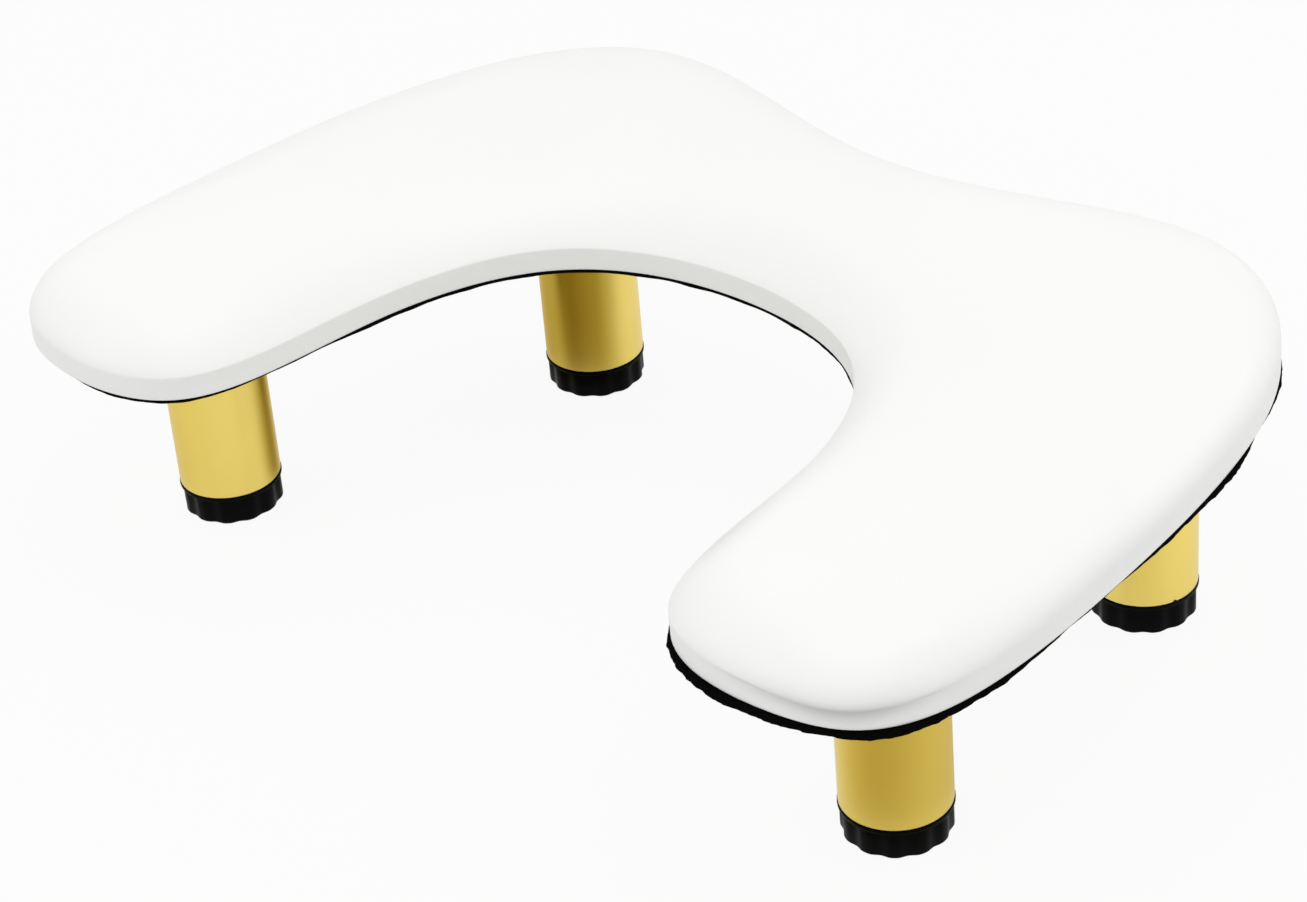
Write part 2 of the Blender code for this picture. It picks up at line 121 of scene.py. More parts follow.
# Fullness at the end of the right arm, where the leather is gathered into a soft roll
GATHER_SHARE = 0.217
GATHER_SPREAD_SHARE = 0.022
GATHER_FULLNESS = 0.0056
GATHER_HEIGHT = 0.0118
GATHER_BELOW = 0.0009
GATHER_ABOVE = 0.0150
HEM_FULLNESS = 0.0017
HEM_HEIGHT = 0.0020
HEM_REACH = 0.0032
# Painted shade in the leather's colour under the roll: the height of its darkest row, how far it
# reaches below and above, and its grey
CREASE_SHADE_HEIGHT = 0.0108
CREASE_SHADE_BELOW = 0.0045
CREASE_SHADE_ABOVE = 0.0022
CREASE_SHADE_COLOUR = (0.58, 0.58, 0.565, 1)
FOAM_CLEARANCE = 0.0015
FOAM_LIP = 0.0001
SMOOTHING_LEVELS = 1

# The short cloth run in which the foam swells the leather: below SWELL_START over the board
# it is held, and no point moves further than SWELL_CAP
SWELL_START = CROWN_RISE / 8
SWELL_CAP = 0.0014
SWELL_FRAMES = 20
SWELL_SETTINGS = {
    "quality": 6,
    "mass": 0.4,
    "tension_stiffness": 60,
    "compression_stiffness": 60,
    "shear_stiffness": 30,
    "bending_stiffness": 8,
    "use_pressure": True,
    "uniform_pressure_force": 4,
}

# Felt under the board, cut by hand and stapled on
FELT_STEPS = 60
FELT_CUT_WAVE = 0.0005
FELT_CUT_SCALE = 42
FELT_CUT_SEED = 3.0
FELT_FRAYS = ((150, 0.00050), (420, 0.00025))
FELT_FRAY_SEED = 1.0
FELT_FRAY_SHARPNESS = 3
FELT_HIDDEN_FRAY = 0.3
FELT_PROUD = 0.0016
FELT_SAG = 0.0005
FELT_SAG_SEED = 7.0
FELT_STEADY_SAG = 0.6

# How far the felt stands out past the leather, and how far its edge hangs down, by share
# of the way round from the middle of the bay
FELT_EDGES = (
    (0.000, -0.0004, 0.0000),
    (0.050, -0.0002, 0.0000),
    (0.120, 0.0000, 0.0003),
    (0.152, 0.0012, 0.0006),
    (0.166, 0.0024, 0.0016),
    (0.185, 0.0022, 0.0020),
    (0.215, 0.0018, 0.0015),
    (0.233, 0.0022, 0.0025),
    (0.250, 0.0010, 0.0009),
    (0.266, 0.0008, 0.0004),
    (0.284, -0.0014, 0.0000),
    (0.300, -0.0013, 0.0000),
    (0.317, 0.0004, 0.0002),
    (0.332, 0.0013, 0.0006),
    (0.343, -0.0014, 0.0000),
    (0.356, 0.0006, 0.0003),
    (0.420, -0.0010, 0.0000),
    (0.500, 0.0002, 0.0002),
    (0.580, -0.0012, 0.0000),
    (0.640, 0.0000, 0.0003),
    (0.760, -0.0022, 0.0000),
    (0.800, -0.0024, 0.0000),
    (0.816, -0.0013, 0.0000),
    (0.850, -0.0008, 0.0000),
    (0.866, -0.0022, 0.0000),
    (0.884, -0.0022, 0.0000),
    (0.902, 0.0002, 0.0000),
    (0.925, -0.0003, 0.0000),
)

# Rows down the felt's cut edge: how far in they lie, and their shares of the fray, of the
# thickness and of the sag
FELT_EDGE_ROWS = (
    (0.0004, 0.0, 1.00, 0.0),
    (0.0000, 0.4, 0.75, 0.5),
    (0.0000, 1.0, 0.30, 1.0),
    (0.0005, 0.6, 0.00, 1.0),
)
FELT_INSETS = (0.0012, 0.0035, 0.0065, 0.0095, 0.0125)
FELT_SPACING = 0.016

# Staples, each a little off its even place and turned a little
STAPLE_INSET = 0.0095
STAPLE_PITCH = 0.031
STAPLE_STRAY = 0.25
STAPLE_STRAY_STEP = 1.7
STAPLE_STRAY_SEED = 5.0
STAPLE_TURN = 0.22
STAPLE_TURN_STEP = 2.3
STAPLE_TURN_SEED = 9.0
STAPLE_CROWN = 0.0100
STAPLE_WIDTH = 0.0012
STAPLE_THICKNESS = 0.0006
STAPLE_LEG = 0.0030
STAPLE_BEND = 0.0007
STAPLE_PROUD = STAPLE_THICKNESS / 4
STAPLE_DIMPLE = 0.0005
STAPLE_DIMPLE_RADIUS = 0.0065

# Nets of triangles over flat ends: how far they keep from the edge and what they take as one
# point, as shares of their spacing
NET_MARGIN_SHARE = 0.62
NET_MERGE_SHARE = 0.001

# Legs
ROUND_SEGMENTS = 96
FINE_SEGMENTS = 192
CORNER_SHARE = 0.45
TUBE_WALL = 0.0012
TUBE_LIP = 0.0005
FLUTE_COUNT = 12
FLUTE_DEPTH = 0.00105
FLUTE_WIDTH_SHARE = 0.86
FOOT_TURNS = [math.radians(turn) for turn in (9.6, -8.0, 6.4, 20.8)]
FLANGE_THICKNESS = 0.0018
BUSH_CLEARANCE = 0.0003
# Nibs of moulding flash that stand up from a flange: the leg, the bearing in degrees, the
# half width along the rim and the height
NIBS = ((4, 341, 0.0015, 0.0013), (4, 296, 0.0011, 0.0006))
NIB_CREST_SHARE = 1 / 3
STEM_RADIUS = 0.012
THREAD_PITCH = 0.003
THREAD_DEPTH = 0.0011
THREAD_ROW = 0.0005
THREAD_FLANKS = (0.0, 0.3, 0.6, 0.9)
STEM_CHAMFER = 0.0015
SKIRT_CHAMFER = 0.0012
SKIRT_PROUD = 0.0006
SKIRT_INSET = 0.0005
SKIRT_GAP = 0.0005
SOFT_EDGE = 0.0004
RECESS_HUB_SHARE = 0.5
GRIP_HUB_SHARE = 0.4
GRIP_RECESS_CLEARANCE = 0.0003
GRIP_FLOOR_GAP = 0.00005

# Camera, measured from the photograph, whose frame is 1307 by 902 pixels
FRAME_WIDTH = 1307
FOCAL_PIXELS = 3623
SENSOR_WIDTH = 36
VIEW_AZIMUTH = math.radians(45.40)
VIEW_ELEVATION = math.radians(32.48)
VIEW_ROLL = math.radians(-5.03)
VIEW_DISTANCE = 1.694
VIEW_RIGHT = -0.0177
VIEW_UP = 0.0016
VIEW_CENTRE = (0.0, 0.0017, 0.0616)

# Studio
AMBIENT_COLOUR = (0.985, 0.99, 0.975, 1)
AMBIENT_STRENGTH = 0.66
LIGHTS = {
    "overhead_softbox": {"place": (0.35, -0.30, 1.85), "size": 2.0, "power": 11.0},
    "back_softbox": {"place": (1.15, 1.15, 0.95), "size": 1.4, "power": 5.4},
    "front_softbox": {"place": (-0.90, -1.30, 1.10), "size": 1.4, "power": 4.2},
    "left_softbox": {"place": (-1.50, 0.30, 1.00), "size": 1.4, "power": 1.0},
}
FLOOR_REACH = 6.0
FLOOR_WHITE_SHARE = 0.93
FLOOR_MIRRORED_SHARE = 0.72

# Painted reflections, dark streaks in the brass from sheets seen in mirror rays alone: the leg,
# the bearing of a streak's middle and its half width in degrees, and how much of the white
# studio it hides
STREAK_SHEETS = (
    (1, 52, 40, 0.62),
    (1, -137, 110, 0.14),
    (2, -127, 84, 0.42),
    (2, -81, 38, 0.50),
    (2, -48, 66, 0.61),
    (3, -74, 105, 0.42),
    (3, 31, 110, 0.23),
    (4, -54, 50, 0.07),
)
# How strongly the painted streaks darken red, green and blue
STREAK_SHEET_TONES = (1.0, 1.24, 2.4)
STREAK_SHEET_RADIUS = 0.040
STREAK_SHEET_BOTTOM = -0.02
STREAK_SHEET_TOP_GAP = 0.003
STREAK_SHEET_STEPS = 120

# Sockets of a colour mix, which share their names with its other kinds
MIX_FIRST = 6
MIX_SECOND = 7
MIX_RESULT = 2


def smooth_step(values, start, end):
    share = np.clip((values - start) / (end - start), 0, 1)
    return share * share * (3 - 2 * share)


def closed_spline(controls, steps):
    """Points along the closed uniform cubic B-spline of the control points."""
    t = np.linspace(0, 1, steps, endpoint=False)[:, None]
    weights = ((1 - t) ** 3, 3 * t**3 - 6 * t**2 + 4, -3 * t**3 + 3 * t**2 + 3 * t + 1, t**3)
    spans = []
    for i in range(len(controls)):
        corners = controls[np.arange(i - 1, i + 3) % len(controls)]
        spans.append(sum(weight * corner for weight, corner in zip(weights, corners)) / 6)
    return np.concatenate(spans)


def pad_outline(steps):
    """The pad's outline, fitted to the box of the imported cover, anticlockwise."""
    half = np.array(OUTLINE_SHARES)
    other = half[-2:0:-1] * (-1, 1)
    points = closed_spline(np.concatenate([half, other]), steps)
    low, high = (np.array(corner)[:2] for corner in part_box("pad_cover"))
    span = (high - low) / (points.max(0) - points.min(0))
    return low + (points - points.min(0)) * span


def outward_normals(outline):
    along = np.roll(outline, -1, 0) - np.roll(outline, 1, 0)
    normals = np.stack([along[:, 1], -along[:, 0]], 1)
    return normals / np.linalg.norm(normals, axis=1)[:, None]


def moved_in(outline, distance):
    """The outline moved inwards by a distance, or by one distance for each point."""
    return outline - outward_normals(outline) * np.reshape(distance, (-1, 1))


def way_round(outline):
    """Each point's share of the way round the outline from the middle of the bay."""
    return np.arange(len(outline)) / len(outline)


def by_share(shares, table, column):
    """A column of a table whose first column is the share of the way round."""
    rows = np.array(table)
    return np.interp(shares, rows[:, 0], rows[:, column], period=1)


def swelling(shares, centre, spread):
    """1 at the centre, falling softly to 0 on both sides."""
    return np.exp(-(((shares - centre) / spread) ** 2))


def distance_to(outline, points):
    """The distance of each point to the closed outline, and the nearest outline point."""
    start = outline[None, :, :]
    run = np.roll(outline, -1, 0)[None, :, :] - start
    away = points[:, None, :] - start
    share = np.clip((away * run).sum(2) / (run * run).sum(2), 0, 1)
    gaps = np.linalg.norm(away - share[:, :, None] * run, axis=2)
    return gaps.min(1), gaps.argmin(1)


def inside(outline, points):
    """Whether each point lies inside the closed outline."""
    x, y = points[:, :1], points[:, 1:]
    ax, ay = outline[:, 0], outline[:, 1]
    bx, by = np.roll(ax, -1), np.roll(ay, -1)
    crosses = (ay > y) != (by > y)
    rise = np.where(by == ay, 1, by - ay)
    return (crosses & (x < (bx - ax) * (y - ay) / rise + ax)).sum(1) % 2 == 1


def filled(outline, spacing):
    """Triangles over the outline's inside: (points, faces), with the outline's own first."""
    low, high = outline.min(0), outline.max(0)
    row_step = spacing * math.sqrt(3) / 2
    rows = np.arange(low[1], high[1], row_step)
    places = []
    for number, y in enumerate(rows):
        shift = spacing / 2 * (number % 2)
        for x in np.arange(low[0] + shift, high[0], spacing):
            places.append((x, y))
    places = np.array(places)
    places = places[inside(outline, places)]
    places = places[distance_to(outline, places)[0] > spacing * NET_MARGIN_SHARE]
    points = [Vector(p) for p in np.concatenate([outline, places])]
    count = len(outline)
    edges = [(i, (i + 1) % count) for i in range(count)]
    made, _, faces, *_ = delaunay_2d_cdt(points, edges, [], 1, spacing * NET_MERGE_SHARE)
    return np.array([(p.x, p.y) for p in made]), faces


def wave(points, scale, seed):
    """Smooth noise from -1 to 1 at each point."""
    return np.array([noise(Vector((x * scale, y * scale, seed))) for x, y in points[:, :2]])


def finish_mesh(bm, name, sharp=35):
    """An object from a finished bmesh, smooth-shaded with crisp edges kept."""
    bmesh.ops.recalc_face_normals(bm, faces=bm.faces)
    mesh = bpy.data.meshes.new(name)
    bm.to_mesh(mesh)
    bm.free()
    mesh.shade_smooth()
    mesh.set_sharp_from_angle(angle=math.radians(sharp))
    obj = bpy.data.objects.new(name, mesh)
    bpy.context.scene.collection.objects.link(obj)
    return obj


def add_ring(bm, points, height):
    heights = np.broadcast_to(height, len(points))
    return [bm.verts.new((x, y, z)) for (x, y), z in zip(points, heights)]


def join_rings(bm, rings):
    for lower, upper in zip(rings, rings[1:]):
        for i, vert in enumerate(lower):
            j = (i + 1) % len(lower)
            bm.faces.new((vert, lower[j], upper[j], upper[i]))


def fill_ring(bm, ring, spacing, height_of, upward=True):
    """Closes a ring with an even net of triangles, each point at height_of(its place)."""
    outline = np.array([vert.co[:2] for vert in ring])
    points, faces = filled(outline, spacing)
    heights = height_of(points)
    verts = list(ring)
    for (x, y), z in zip(points[len(ring):], heights[len(ring):]):
        verts.append(bm.verts.new((x, y, z)))
    for face in faces:
        corners = [verts[i] for i in face]
        bm.faces.new(corners if upward else corners[::-1])


def crown_height(distance, firmness):
    """How high the padded top stands over the board, that far in from the outline."""
    share = np.clip(distance / CROWN_WIDTH, 0, 1)
    round_edge = np.sqrt(1 - (1 - share) ** 2)
    dome = CROWN_DOME * smooth_step(distance, DOME_START, DOME_END)
    return CROWN_RISE * round_edge ** (1 + firmness) + dome


def crown_insets():
    """How far in from the outline each ring of the crown lies, closer where it is steep."""
    last = math.acos(1 - RING_REACH / CROWN_WIDTH)
    angles = np.linspace(0, last, CROWN_RINGS + 1)
    return CROWN_WIDTH * (1 - np.cos(angles))


def crown_top(outline, base):
    """A function that gives the height of the padded top at any points inside."""
    firmness = by_share(way_round(outline), FIRMNESS_SHARES, 1)

    def height_of(points):
        distance, nearest = distance_to(outline, points)
        return base + crown_height(distance, firmness[nearest])

    return height_of


def standing_out(outline, height):
    """How far the gathered leather stands out past the outline at that height."""
    away = height - GATHER_HEIGHT
    reach = GATHER_ABOVE if away > 0 else GATHER_BELOW
    roll = GATHER_FULLNESS * math.exp(-((away / reach) ** 2))
    hem = HEM_FULLNESS * math.exp(-(((height - HEM_HEIGHT) / HEM_REACH) ** 2))
    return (roll + hem) * swelling(way_round(outline), GATHER_SHARE, GATHER_SPREAD_SHARE)


def painted_crease_shade(outline, height):
    """How much painted shade darkens the leather under the roll at that height, from 0 to 1."""
    away = height - CREASE_SHADE_HEIGHT
    reach = CREASE_SHADE_ABOVE if away > 0 else CREASE_SHADE_BELOW
    level = math.exp(-((away / reach) ** 2))
    return level * swelling(way_round(outline), GATHER_SHARE, GATHER_SPREAD_SHARE)


def leather_sheet(outline, bottom, band_top):
    """The leather as one open sheet: hem, rolled edge, upright band, crown and top."""
    band = band_top - bottom
    firmness = by_share(way_round(outline), FIRMNESS_SHARES, 1)
    rows = [(inset, 0.0) for inset in HEM_INSETS]
    for step in range(EDGE_RINGS + 1):
        angle = math.pi / 2 * step / EDGE_RINGS
        rows.append((EDGE_RADIUS * (1 - math.sin(angle)), EDGE_RADIUS * (1 - math.cos(angle))))
    for height in np.arange(EDGE_RADIUS + BAND_STEP, band - BAND_STEP / 2, BAND_STEP):
        rows.append((0.0, height))
    for inset in crown_insets():
        rows.append((inset, band + crown_height(inset, firmness)))
    bm = bmesh.new()
    # Painted shade: each point's share of the grey that darkens the leather under the roll
    crease_shade = bm.verts.layers.float.new("crease_shade")
    rings = []
    for inset, height in rows:
        level = float(np.mean(height))
        hand = HAND_WAVE * wave(outline, HAND_WAVE_SCALE, level * HAND_WAVE_SCALE)
        hand = hand * smooth_step(level, 0, band / 2) * (1 - smooth_step(level, band, band * 2))
        drawn_in = inset + hand - standing_out(outline, level)
        rings.append(add_ring(bm, moved_in(outline, drawn_in), bottom + height))
        # The painted shade under the roll, stored on each point of the ring
        for vert, depth in zip(rings[-1], painted_crease_shade(outline, level)):
            vert[crease_shade] = depth
    join_rings(bm, rings)
    fill_ring(bm, rings[-1], TOP_SPACING, crown_top(outline, band_top))
    return finish_mesh(bm, "leather_cover", sharp=60)


def swell(obj, held_below):
    """The foam presses the leather out a little: a short cloth run with the band held."""
    mesh = obj.data
    before = np.array([vert.co for vert in mesh.vertices])
    held = obj.vertex_groups.new(name="held")
    held.add([i for i, co in enumerate(before) if co[2] <= held_below], 1.0, "REPLACE")
    cloth = obj.modifiers.new("swell", "CLOTH")
    for key, value in SWELL_SETTINGS.items():
        setattr(cloth.settings, key, value)
    cloth.settings.effector_weights.gravity = 0
    cloth.settings.vertex_group_mass = held.name
    cloth.collision_settings.use_collision = False
    scene = bpy.context.scene
    for frame_number in range(1, SWELL_FRAMES + 1):
        scene.frame_set(frame_number)
    evaluated = obj.evaluated_get(bpy.context.evaluated_depsgraph_get())
    after = np.array([vert.co for vert in evaluated.data.vertices])
    obj.modifiers.remove(cloth)
    scene.frame_set(1)
    move = after - before
    length = np.linalg.norm(move, axis=1)[:, None]
    move *= SWELL_CAP / np.maximum(length, SWELL_CAP)
    mesh.vertices.foreach_set("co", (before + move).ravel())
    mesh.update()


def make_leather(materials):
    cover_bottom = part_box("pad_cover")[0].z
    foam_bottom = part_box("foam_pad")[0].z
    cover = leather_sheet(pad_outline(COVER_STEPS), cover_bottom, foam_bottom)
    swell(cover, foam_bottom + SWELL_START)
    soft = cover.modifiers.new("soften", "SUBSURF")
    soft.levels = SMOOTHING_LEVELS
    soft.render_levels = SMOOTHING_LEVELS
    shell = cover.modifiers.new("leather_thickness", "SOLIDIFY")
    shell.thickness = LEATHER_THICKNESS
    shell.offset = -1
    cover.data.materials.append(materials["leather"])
    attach(cover, "pad_and_legs")
    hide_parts("pad_cover")


def make_foam(materials):
    """The foam under the leather, a clearance inside it, flat on the board."""
    foam_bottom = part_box("foam_pad")[0].z
    outline = pad_outline(COVER_STEPS)
    firmness = by_share(way_round(outline), FIRMNESS_SHARES, 1)
    bm = bmesh.new()
    rings = [add_ring(bm, moved_in(outline, FOAM_CLEARANCE), foam_bottom)]
    for inset in crown_insets()[1:]:
        height = np.maximum(crown_height(inset, firmness) - FOAM_CLEARANCE, FOAM_LIP)
        slope = FOAM_CLEARANCE * (1 - inset / CROWN_WIDTH)
        rings.append(add_ring(bm, moved_in(outline, inset + slope), foam_bottom + height))
    join_rings(bm, rings)
    fill_ring(bm, rings[-1], TOP_SPACING, crown_top(outline, foam_bottom - FOAM_CLEARANCE))
    bm.faces.new(rings[0][::-1])
    foam = finish_mesh(bm, "foam_filling")
    foam.data.materials.append(materials["foam"])
    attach(foam, "pad_and_legs")
    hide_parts("foam_pad")


def felt_cut():
    """The felt's outline as it was cut by hand, here past the leather and there short of it."""
    outline = pad_outline(FELT_STEPS)
    past = by_share(way_round(outline), FELT_EDGES, 1)
    cut_wave = FELT_CUT_WAVE * wave(outline, FELT_CUT_SCALE, FELT_CUT_SEED)
    return moved_in(outline, cut_wave - past)


def staple_places(cut):
    """Where each staple lies and how it is turned: (x, y, turn)."""
    line = moved_in(cut, STAPLE_INSET)
    steps = np.linalg.norm(np.roll(line, -1, 0) - line, axis=1)
    reach = np.concatenate([[0], np.cumsum(steps)])
    count = round(reach[-1] / STAPLE_PITCH)
    places = []
    for number in range(count):
        stray = STAPLE_STRAY * noise(Vector((number * STAPLE_STRAY_STEP, STAPLE_STRAY_SEED, 0)))
        at = (number + 0.5 + stray) * reach[-1] / count
        i = int(np.searchsorted(reach, at) - 1) % len(line)
        along = line[(i + 1) % len(line)] - line[i]
        turn = STAPLE_TURN * noise(Vector((number * STAPLE_TURN_STEP, 0, STAPLE_TURN_SEED)))
        places.append((*line[i], math.atan2(along[1], along[0]) + turn))
    return places


def make_felt(materials):
    """The felt: flat against the board, sagging a little between staples at its edge."""
    felt_low, felt_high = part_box("bottom_cloth")
    cut = felt_cut()
    staples = np.array(staple_places(cut))
    fray = sum(
        depth * np.tanh(FELT_FRAY_SHARPNESS * wave(cut, scale, FELT_FRAY_SEED))
        for scale, depth in FELT_FRAYS
    )
    past = by_share(way_round(cut), FELT_EDGES, 1)
    fray = fray * (FELT_HIDDEN_FRAY + (1 - FELT_HIDDEN_FRAY) * smooth_step(past, 0, FELT_PROUD))
    reach = np.linalg.norm(cut[:, None, :] - staples[None, :, :2], axis=2).min(1)
    loose = smooth_step(reach, STAPLE_INSET, STAPLE_PITCH / 2)
    unsteady = (1 - FELT_STEADY_SAG) * wave(cut, FELT_CUT_SCALE, FELT_SAG_SEED)
    sag = FELT_SAG * loose * (FELT_STEADY_SAG + unsteady)
    sag = sag + by_share(way_round(cut), FELT_EDGES, 2)
    bm = bmesh.new()
    rings = []
    for inset, fray_share, level, sag_share in FELT_EDGE_ROWS:
        height = felt_low.z + (felt_high.z - felt_low.z) * level - sag * sag_share
        rings.append(add_ring(bm, moved_in(cut, inset + fray * fray_share), height))
    for inset in FELT_INSETS:
        line = moved_in(cut, inset)
        gap = np.linalg.norm(line[:, None, :] - staples[None, :, :2], axis=2).min(1)
        dimple = STAPLE_DIMPLE * np.exp(-((gap / STAPLE_DIMPLE_RADIUS) ** 2))
        fade = 1 - inset / FELT_INSETS[-1]
        rings.append(add_ring(bm, line, felt_low.z - sag * fade + dimple))
    join_rings(bm, rings)

    def flat(points):
        return np.full(len(points), felt_low.z)

    fill_ring(bm, rings[-1], FELT_SPACING, flat, upward=False)
    bm.faces.new(rings[0])
    felt = finish_mesh(bm, "felt_underside", sharp=70)
    felt.data.materials.append(materials["felt"])
    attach(felt, "pad_and_legs")
    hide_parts("bottom_cloth")


def add_staple(bm, place):
    """One wire staple, crown downwards, its legs going up into the board."""
    half = STAPLE_CROWN / 2
    outer = [
        (-half, STAPLE_LEG),
        (-half, STAPLE_BEND),
        (-half + STAPLE_BEND, 0),
        (half - STAPLE_BEND, 0),
        (half, STAPLE_BEND),
        (half, STAPLE_LEG),
    ]
    side = half - STAPLE_THICKNESS
    floor = STAPLE_THICKNESS
    inner = [
        (-side, STAPLE_LEG),
        (-side, STAPLE_BEND + floor / 2),
        (-side + STAPLE_BEND / 2, floor),
        (side - STAPLE_BEND / 2, floor),
        (side, STAPLE_BEND + floor / 2),
        (side, STAPLE_LEG),
    ]
    reach = STAPLE_WIDTH / 2
    rings = []
    for (ox, oz), (ix, iz) in zip(outer, inner):
        corners = [(ox, -reach, oz), (ox, reach, oz), (ix, reach, iz), (ix, -reach, iz)]
        rings.append([bm.verts.new(place @ Vector(corner)) for corner in corners])
    join_rings(bm, rings)
    bm.faces.new(rings[0])
    bm.faces.new(rings[-1])


def make_staples(materials):
    felt_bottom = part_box("bottom_cloth")[0].z
    bm = bmesh.new()
    for x, y, turn in staple_places(felt_cut()):
        shift = Matrix.Translation((x, y, felt_bottom - STAPLE_PROUD))
        add_staple(bm, shift @ Matrix.Rotation(turn, 4, "Z"))
    staples = finish_mesh(bm, "felt_staples", sharp=20)
    staples.data.materials.append(materials["steel"])
    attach(staples, "pad_and_legs")


def softened(profile, radius, closed, steps=3):
    """The profile with each corner rounded, by at most the radius."""
    corners = [np.array(p, float) for p in profile]
    count = len(corners)
    points = []
    for i, corner in enumerate(corners):
        if not closed and i in (0, count - 1):
            points.append(tuple(corner))
            continue
        back = corners[i - 1] - corner
        ahead = corners[(i + 1) % count] - corner
        before, after = np.linalg.norm(back), np.linalg.norm(ahead)
        cut = min(radius, CORNER_SHARE * before, CORNER_SHARE * after)
        start = corner + back / before * cut
        end = corner + ahead / after * cut
        for t in np.linspace(0, 1, steps + 1):
            point = (1 - t) ** 2 * start + 2 * t * (1 - t) * corner + t**2 * end
            points.append(tuple(point))
    return points


def turned(name, profile, closed, segments=ROUND_SEGMENTS, radius_at=None):
    """A piece turned about Z from (radius, height) points, capped unless it is a ring.

    radius_at(radius, height, angles) may vary the radius round each ring.
    """
    angles = np.linspace(0, math.tau, segments, endpoint=False)
    circle = np.stack([np.cos(angles), np.sin(angles)], 1)
    bm = bmesh.new()
    rings = []
    for radius, height in profile:
        radii = np.full(segments, radius)
        if radius_at:
            radii = radius_at(radius, height, angles)
        rings.append(add_ring(bm, circle * radii[:, None], height))
    join_rings(bm, rings + rings[:1] if closed else rings)
    if not closed:
        bm.faces.new(rings[0])
        bm.faces.new(rings[-1])
    return finish_mesh(bm, name, sharp=50)


def leg_axis(number):
    low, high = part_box(f"leg_tube_{number}")
    return (low.x + high.x) / 2, (low.y + high.y) / 2


def radius_of(node):
    """The radius of a packed round piece."""
    low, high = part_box(node)
    return (high.x - low.x) / 2


def place_piece(obj, number, materials, slot_name, body, node):
    """The piece goes to its leg's axis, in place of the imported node."""
    obj.location = (*leg_axis(number), 0)
    obj.data.materials.append(materials[slot_name])
    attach(obj, body)
    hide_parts(node)


def make_tube(number, materials):
    node = f"leg_tube_{number}"
    low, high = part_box(node)
    outer = radius_of(node)
    bore = outer - TUBE_WALL
    profile = [(bore, high.z), (outer, high.z), (outer, low.z), (bore, low.z)]
    tube = turned(f"brass_tube_{number}", softened(profile, TUBE_LIP, True), True)
    place_piece(tube, number, materials, "brass", "pad_and_legs", node)


def raise_nibs(bush, number, tube_radius, middle):
    """Lift the flange's rim outside the tube where moulding flash stands up."""
    for leg, bearing, half_width, rise in NIBS:
        if leg != number:
            continue
        for vertex in bush.data.vertices:
            x, y, z = vertex.co
            radius = math.hypot(x, y)
            if radius < tube_radius or z < middle:
                continue
            turn = math.remainder(math.atan2(y, x) - math.radians(bearing), math.tau)
            away = abs(turn) * radius
            crest = half_width * NIB_CREST_SHARE
            vertex.co.z += rise * float(1 - smooth_step(away, crest, half_width))


def make_bush(number, materials):
    node = f"foot_bush_{number}"
    low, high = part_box(node)
    flange = radius_of(node)
    tube_radius = radius_of(f"leg_tube_{number}")
    body = tube_radius - TUBE_WALL - BUSH_CLEARANCE
    bore = STEM_RADIUS + BUSH_CLEARANCE
    seat = low.z + FLANGE_THICKNESS
    profile = [
        (bore, high.z),
        (body, high.z),
        (body, seat),
        (flange, seat),
        (flange, low.z),
        (bore, low.z),
    ]
    rounded = softened(profile, SOFT_EDGE, True)
    bush = turned(f"flanged_bush_{number}", rounded, True, FINE_SEGMENTS)
    raise_nibs(bush, number, tube_radius, (low.z + seat) / 2)
    place_piece(bush, number, materials, "plastic", "pad_and_legs", node)


def flute_sink(angles, turn):
    """How far the skirt's rim is sunk at each angle: wide lobes between round flutes."""
    along = ((angles - turn) * FLUTE_COUNT / math.tau) % 1 - 0.5
    reach = np.minimum(1, np.abs(along) * 2 / FLUTE_WIDTH_SHARE)
    return FLUTE_DEPTH * (1 + np.cos(math.pi * reach)) / 2


def thread_sink(height, angles):
    """How far the stem is cut in by its coarse thread at each angle."""
    along = (height / THREAD_PITCH - angles / math.tau) % 1
    root, crest_start, crest_end, next_root = THREAD_FLANKS
    rising = smooth_step(along, root, crest_start)
    falling = 1 - smooth_step(along, crest_end, next_root)
    return THREAD_DEPTH * (1 - np.minimum(rising, falling))


def make_foot(number, materials):
    """The fluted skirt with its threaded stem and the recess for the grip pad."""
    node = f"levelling_foot_{number}"
    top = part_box(node)[1].z
    rim = radius_of(f"leg_tube_{number}") - SKIRT_INSET
    skirt_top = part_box(f"foot_bush_{number}")[0].z - SKIRT_GAP
    recess = radius_of(f"foot_grip_{number}") + GRIP_RECESS_CLEARANCE
    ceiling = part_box(f"foot_grip_{number}")[1].z + GRIP_RECESS_CLEARANCE
    skirt = [
        (recess * RECESS_HUB_SHARE, ceiling),
        (recess, ceiling),
        (recess, SKIRT_PROUD),
        (rim - SKIRT_CHAMFER, SKIRT_PROUD),
        (rim, SKIRT_PROUD + SKIRT_CHAMFER),
        (rim, skirt_top),
        (STEM_RADIUS + SOFT_EDGE, skirt_top),
    ]
    profile = softened(skirt, SOFT_EDGE, False)
    for height in np.arange(skirt_top + THREAD_ROW, top - STEM_CHAMFER, THREAD_ROW):
        profile.append((STEM_RADIUS, height))
    profile.append((STEM_RADIUS - STEM_CHAMFER, top))
    turn = FOOT_TURNS[number - 1]

    def radius_at(radius, height, angles):
        if radius > recess + SOFT_EDGE:
            return radius - flute_sink(angles, turn)
        if height > skirt_top and radius > STEM_RADIUS - STEM_CHAMFER / 2:
            grow = smooth_step(height, skirt_top, skirt_top + THREAD_PITCH / 2)
            return radius - thread_sink(height, angles) * grow
        return np.full(len(angles), radius)

    foot = turned(f"fluted_foot_{number}", profile, False, FINE_SEGMENTS, radius_at)
    place_piece(foot, number, materials, "plastic", f"foot_{number}", node)


def make_grip(number, materials):
    node = f"foot_grip_{number}"
    low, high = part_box(node)
    radius = radius_of(node)
    hub = radius * GRIP_HUB_SHARE
    ground = low.z + GRIP_FLOOR_GAP
    profile = [(hub, high.z), (radius, high.z), (radius, ground), (hub, ground)]
    grip = turned(f"grip_disc_{number}", softened(profile, SOFT_EDGE, False), False)
    place_piece(grip, number, materials, "rubber", f"grip_{number}", node)


